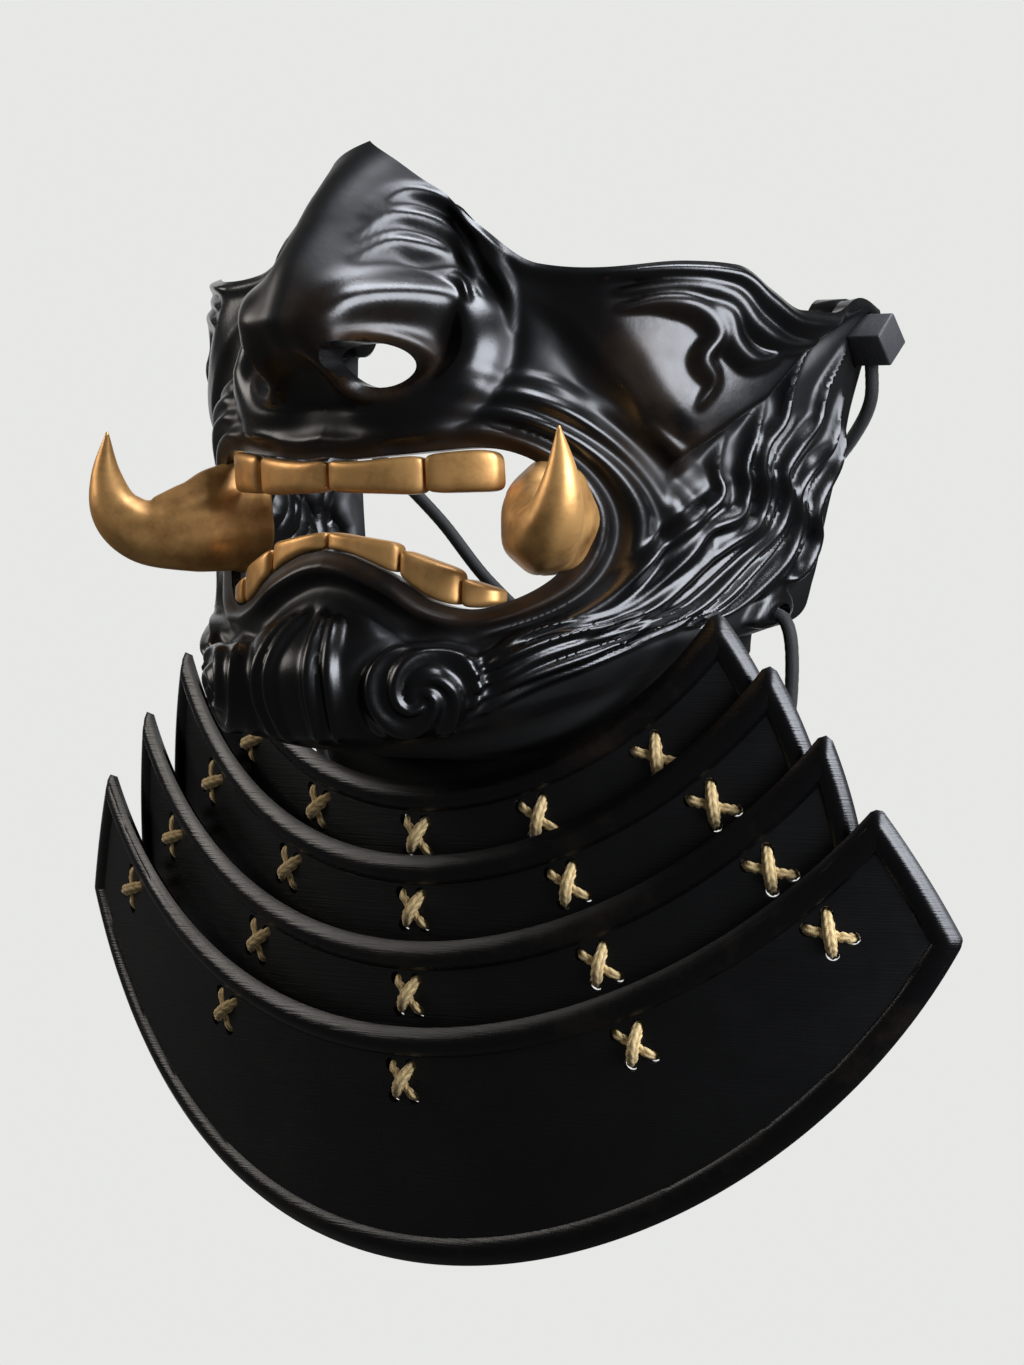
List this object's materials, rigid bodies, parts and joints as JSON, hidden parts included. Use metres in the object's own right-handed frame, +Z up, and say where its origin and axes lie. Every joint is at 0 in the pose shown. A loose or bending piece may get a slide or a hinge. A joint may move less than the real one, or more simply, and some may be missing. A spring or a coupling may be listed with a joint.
{
  "type": "samurai face guard",
  "caption": "Lacquered half mask with gilded teeth and tusks, curled beard relief, and a laced throat guard of overlapping lames, worn with elastic straps.",
  "frame": {"origin": "midway between the two cord posts at the wearer's ears, where the straps hold the guard on the head", "axes": "+Z up, the face looks along -Y, +X is the wearer's left"},
  "size_m": [0.303, 0.1699, 0.3106],
  "materials": {
    "lacquer": "black lacquer over moulded resin, satin to gloss, bronze rub",
    "gilding": "antique gold paint, satin",
    "lame_black": "satin black with fine brush lines",
    "lace_cord": "knitted gold-tan cord",
    "elastic": "black braided elastic cord",
    "post_plastic": "dark grey plastic"
  },
  "bodies": {
    "root": {"mask": "lacquer", "upper_teeth": "gilding", "lower_teeth": "gilding", "tusk_left": "gilding", "tusk_right": "gilding", "cord_post_left": "post_plastic", "cord_post_right": "post_plastic", "head_strap": "elastic", "neck_strap": "elastic", "lame_1": "lame_black", "lace_1_1": "lace_cord", "lace_1_2": "lace_cord", "lace_1_3": "lace_cord", "lace_1_4": "lace_cord", "lace_1_5": "lace_cord", "lame_2": "lame_black", "lace_2_1": "lace_cord", "lace_2_2": "lace_cord", "lace_2_3": "lace_cord", "lace_2_4": "lace_cord", "lace_2_5": "lace_cord", "lame_3": "lame_black", "lace_3_1": "lace_cord", "lace_3_2": "lace_cord", "lace_3_3": "lace_cord", "lace_3_4": "lace_cord", "lace_3_5": "lace_cord", "lame_4": "lame_black", "lace_4_1": "lace_cord", "lace_4_2": "lace_cord", "lace_4_3": "lace_cord", "lace_4_4": "lace_cord", "lace_4_5": "lace_cord"}
  },
  "joints": []
}
